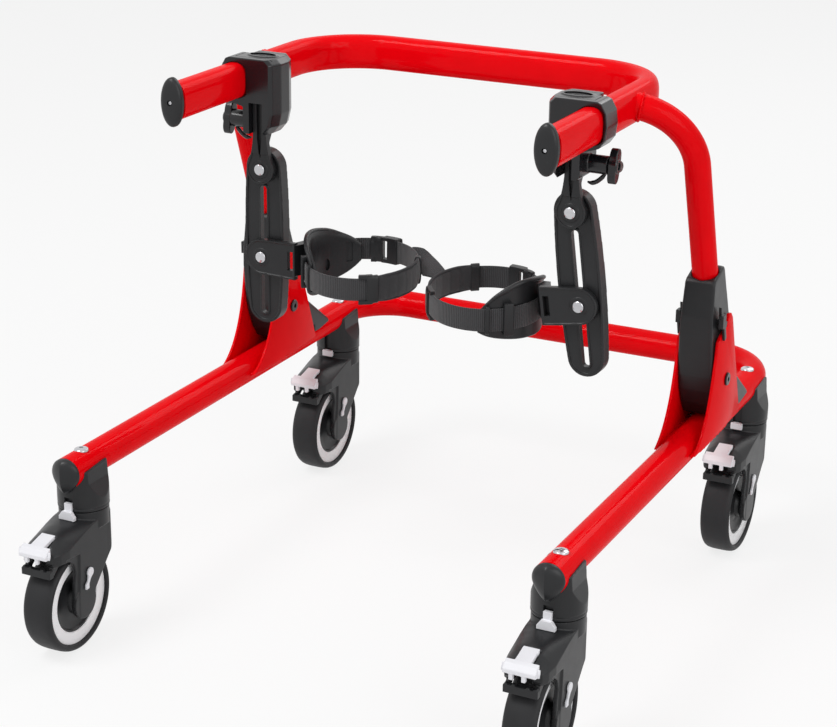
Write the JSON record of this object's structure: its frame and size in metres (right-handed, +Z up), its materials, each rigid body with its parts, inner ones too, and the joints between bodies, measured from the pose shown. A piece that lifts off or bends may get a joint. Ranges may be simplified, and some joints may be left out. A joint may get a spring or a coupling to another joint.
{
  "type": "gait trainer",
  "caption": "Low U-shaped wheeled frame on four swivel casters, with a folding, height-adjustable handle frame and two hanging ankle guides with cuffs.",
  "frame": {"origin": "middle of the object's footprint, on the floor under the casters", "axes": "+Z up; +Y to the closed rear end of the rails, so the user faces -Y; +X to the side of the right-hand rail when seen from the front"},
  "size_m": [0.534, 0.6744, 0.5324],
  "materials": {
    "red_paint": "gloss red paint on tube",
    "black_steel": "black coated steel",
    "steel": "bright plated steel",
    "black_plastic": "moulded, fine grain",
    "white_plastic": "moulded, smooth",
    "black_rubber": "matte solid rubber",
    "black_webbing": "woven webbing, ribbed"
  },
  "bodies": {
    "base": {"lower_frame": "red_paint", "rail_plug_left": "black_plastic", "rail_plug_right": "black_plastic", "caster_socket_front_left": "black_plastic", "caster_socket_front_right": "black_plastic", "caster_socket_rear_left": "black_plastic", "caster_socket_rear_right": "black_plastic", "mounting_bolt_front_left": "steel", "mounting_bolt_front_right": "steel", "mounting_bolt_rear_left": "steel", "mounting_bolt_rear_right": "steel", "pivot_bolt_left": "black_steel", "pivot_bolt_right": "black_steel"},
    "swivel_front_left": {"fork_front_left": "black_plastic"},
    "wheel_front_left": {"wheel_rim_front_left": "white_plastic", "tyre_front_left": "black_rubber"},
    "pedal_front_left": {"brake_pedal_front_left": "white_plastic"},
    "lever_front_left": {"side_lever_front_left": "white_plastic"},
    "lock_front_left": {"swivel_lock_front_left": "white_plastic"},
    "swivel_front_right": {"fork_front_right": "black_plastic"},
    "wheel_front_right": {"wheel_rim_front_right": "white_plastic", "tyre_front_right": "black_rubber"},
    "pedal_front_right": {"brake_pedal_front_right": "white_plastic"},
    "lever_front_right": {"side_lever_front_right": "white_plastic"},
    "lock_front_right": {"swivel_lock_front_right": "white_plastic"},
    "swivel_rear_left": {"fork_rear_left": "black_plastic"},
    "wheel_rear_left": {"wheel_rim_rear_left": "white_plastic", "tyre_rear_left": "black_rubber"},
    "pedal_rear_left": {"brake_pedal_rear_left": "white_plastic"},
    "lever_rear_left": {"side_lever_rear_left": "white_plastic"},
    "lock_rear_left": {"swivel_lock_rear_left": "white_plastic"},
    "swivel_rear_right": {"fork_rear_right": "black_plastic"},
    "wheel_rear_right": {"wheel_rim_rear_right": "white_plastic", "tyre_rear_right": "black_rubber"},
    "pedal_rear_right": {"brake_pedal_rear_right": "white_plastic"},
    "lever_rear_right": {"side_lever_rear_right": "white_plastic"},
    "lock_rear_right": {"swivel_lock_rear_right": "white_plastic"},
    "housings": {"fold_housing_left": "black_plastic", "fold_housing_right": "black_plastic"},
    "latch_left": {"fold_latch_left": "black_plastic"},
    "latch_right": {"fold_latch_right": "black_plastic"},
    "handle": {"handle_frame": "red_paint", "handle_cap_left": "black_plastic", "handle_cap_right": "black_plastic"},
    "clamp_left": {"clamp_body_left": "black_plastic"},
    "knob_left": {"clamp_knob_left": "black_plastic"},
    "arm_left": {"guide_arm_left": "black_plastic"},
    "bar_left": {"slotted_bar_left": "black_plastic"},
    "rivet_left": {"slot_rivet_left": "steel"},
    "cuff_left": {"ankle_bracket_left": "black_plastic", "shin_cup_left": "black_plastic", "ankle_strap_left": "black_webbing"},
    "clamp_right": {"clamp_body_right": "black_plastic"},
    "knob_right": {"clamp_knob_right": "black_plastic"},
    "arm_right": {"guide_arm_right": "black_plastic"},
    "bar_right": {"slotted_bar_right": "black_plastic"},
    "rivet_right": {"slot_rivet_right": "steel"},
    "cuff_right": {"ankle_bracket_right": "black_plastic", "shin_cup_right": "black_plastic", "ankle_strap_right": "black_webbing"}
  },
  "joints": [
    {"name": "swivel_front_left", "type": "hinge", "parent": "base", "child": "swivel_front_left", "pos_m": [-0.2425, -0.25275, 0.13], "axis": [0, 0, 1], "continuous": true},
    {"name": "wheel_spin_front_left", "type": "hinge", "parent": "swivel_front_left", "child": "wheel_front_left", "pos_m": [-0.2425, -0.28625, 0.051], "axis": [1, 0, 0], "continuous": true},
    {"name": "brake_press_front_left", "type": "hinge", "parent": "swivel_front_left", "child": "pedal_front_left", "pos_m": [-0.2425, -0.31275, 0.121], "axis": [1, 0, 0], "range_deg": [0, 12]},
    {"name": "side_lever_turn_front_left", "type": "hinge", "parent": "swivel_front_left", "child": "lever_front_left", "pos_m": [-0.2425, -0.28625, 0.0655], "axis": [1, 0, 0], "range_deg": [0, 30]},
    {"name": "swivel_lock_slide_front_left", "type": "slide", "parent": "base", "child": "lock_front_left", "axis": [0, 0, 1], "range_m": [0, 0.004]},
    {"name": "swivel_front_right", "type": "hinge", "parent": "base", "child": "swivel_front_right", "pos_m": [0.2425, -0.25275, 0.13], "axis": [0, 0, 1], "continuous": true},
    {"name": "wheel_spin_front_right", "type": "hinge", "parent": "swivel_front_right", "child": "wheel_front_right", "pos_m": [0.2425, -0.28625, 0.051], "axis": [1, 0, 0], "continuous": true},
    {"name": "brake_press_front_right", "type": "hinge", "parent": "swivel_front_right", "child": "pedal_front_right", "pos_m": [0.2425, -0.31275, 0.121], "axis": [1, 0, 0], "range_deg": [0, 12]},
    {"name": "side_lever_turn_front_right", "type": "hinge", "parent": "swivel_front_right", "child": "lever_front_right", "pos_m": [0.2425, -0.28625, 0.0655], "axis": [1, 0, 0], "range_deg": [0, 30]},
    {"name": "swivel_lock_slide_front_right", "type": "slide", "parent": "base", "child": "lock_front_right", "axis": [0, 0, 1], "range_m": [0, 0.004]},
    {"name": "swivel_rear_left", "type": "hinge", "parent": "base", "child": "swivel_rear_left", "pos_m": [-0.2425, 0.25425, 0.13], "axis": [0, 0, 1], "continuous": true},
    {"name": "wheel_spin_rear_left", "type": "hinge", "parent": "swivel_rear_left", "child": "wheel_rear_left", "pos_m": [-0.2425, 0.22075, 0.051], "axis": [1, 0, 0], "continuous": true},
    {"name": "brake_press_rear_left", "type": "hinge", "parent": "swivel_rear_left", "child": "pedal_rear_left", "pos_m": [-0.2425, 0.19425, 0.121], "axis": [1, 0, 0], "range_deg": [0, 12]},
    {"name": "side_lever_turn_rear_left", "type": "hinge", "parent": "swivel_rear_left", "child": "lever_rear_left", "pos_m": [-0.2425, 0.22075, 0.0655], "axis": [1, 0, 0], "range_deg": [0, 30]},
    {"name": "swivel_lock_slide_rear_left", "type": "slide", "parent": "base", "child": "lock_rear_left", "axis": [0, 0, 1], "range_m": [0, 0.004]},
    {"name": "swivel_rear_right", "type": "hinge", "parent": "base", "child": "swivel_rear_right", "pos_m": [0.2425, 0.25425, 0.13], "axis": [0, 0, 1], "continuous": true},
    {"name": "wheel_spin_rear_right", "type": "hinge", "parent": "swivel_rear_right", "child": "wheel_rear_right", "pos_m": [0.2425, 0.22075, 0.051], "axis": [1, 0, 0], "continuous": true},
    {"name": "brake_press_rear_right", "type": "hinge", "parent": "swivel_rear_right", "child": "pedal_rear_right", "pos_m": [0.2425, 0.19425, 0.121], "axis": [1, 0, 0], "range_deg": [0, 12]},
    {"name": "side_lever_turn_rear_right", "type": "hinge", "parent": "swivel_rear_right", "child": "lever_rear_right", "pos_m": [0.2425, 0.22075, 0.0655], "axis": [1, 0, 0], "range_deg": [0, 30]},
    {"name": "swivel_lock_slide_rear_right", "type": "slide", "parent": "base", "child": "lock_rear_right", "axis": [0, 0, 1], "range_m": [0, 0.004]},
    {"name": "fold", "type": "hinge", "parent": "base", "child": "housings", "pos_m": [0, 0.11404, 0.2275], "axis": [1, 0, 0], "range_deg": [0, 70]},
    {"name": "latch_left", "type": "hinge", "parent": "housings", "child": "latch_left", "pos_m": [-0.2425, 0.09092, 0.29212], "axis": [1, 0, 0], "range_deg": [0, 25], "stiffness_Nm_per_rad": 0.3, "springref_deg": -11.46},
    {"name": "latch_right", "type": "hinge", "parent": "housings", "child": "latch_right", "pos_m": [0.2425, 0.09092, 0.29212], "axis": [1, 0, 0], "range_deg": [0, 25], "stiffness_Nm_per_rad": 0.3, "springref_deg": -11.46},
    {"name": "height", "type": "slide", "parent": "housings", "child": "handle", "axis": [0, -0.3437, 0.9391], "range_m": [-0.055, 0.055]},
    {"name": "clamp_slide_left", "type": "slide", "parent": "handle", "child": "clamp_left", "axis": [0, 1, 0], "range_m": [-0.065, 0.025]},
    {"name": "knob_turn_left", "type": "hinge", "parent": "clamp_left", "child": "knob_left", "pos_m": [-0.1835, -0.04775, 0.4695], "axis": [1, 0, 0], "continuous": true},
    {"name": "arm_slide_left", "type": "slide", "parent": "clamp_left", "child": "arm_left", "axis": [0, 0, 1], "range_m": [-0.015, 0]},
    {"name": "bar_pivot_left", "type": "hinge", "parent": "arm_left", "child": "bar_left", "pos_m": [-0.1607, -0.04775, 0.4235], "axis": [0, 1, 0], "range_deg": [-5, 10]},
    {"name": "rivet_slide_left", "type": "slide", "parent": "bar_left", "child": "rivet_left", "axis": [0, 0, -1], "range_m": [-0.04, 0.045]},
    {"name": "cuff_pivot_left", "type": "hinge", "parent": "rivet_left", "child": "cuff_left", "pos_m": [-0.1607, -0.04775, 0.336], "axis": [0, 1, 0], "range_deg": [-10, 10]},
    {"name": "clamp_slide_right", "type": "slide", "parent": "handle", "child": "clamp_right", "axis": [0, 1, 0], "range_m": [-0.065, 0.025]},
    {"name": "knob_turn_right", "type": "hinge", "parent": "clamp_right", "child": "knob_right", "pos_m": [0.1835, -0.04775, 0.4695], "axis": [1, 0, 0], "continuous": true},
    {"name": "arm_slide_right", "type": "slide", "parent": "clamp_right", "child": "arm_right", "axis": [0, 0, 1], "range_m": [-0.015, 0]},
    {"name": "bar_pivot_right", "type": "hinge", "parent": "arm_right", "child": "bar_right", "pos_m": [0.1607, -0.04775, 0.4235], "axis": [0, 1, 0], "range_deg": [-10, 5]},
    {"name": "rivet_slide_right", "type": "slide", "parent": "bar_right", "child": "rivet_right", "axis": [0.1305, 0, -0.9914], "range_m": [-0.04, 0.045]},
    {"name": "cuff_pivot_right", "type": "hinge", "parent": "rivet_right", "child": "cuff_right", "pos_m": [0.17212, -0.04775, 0.33675], "axis": [0, 1, 0], "range_deg": [-10, 10]}
  ]
}
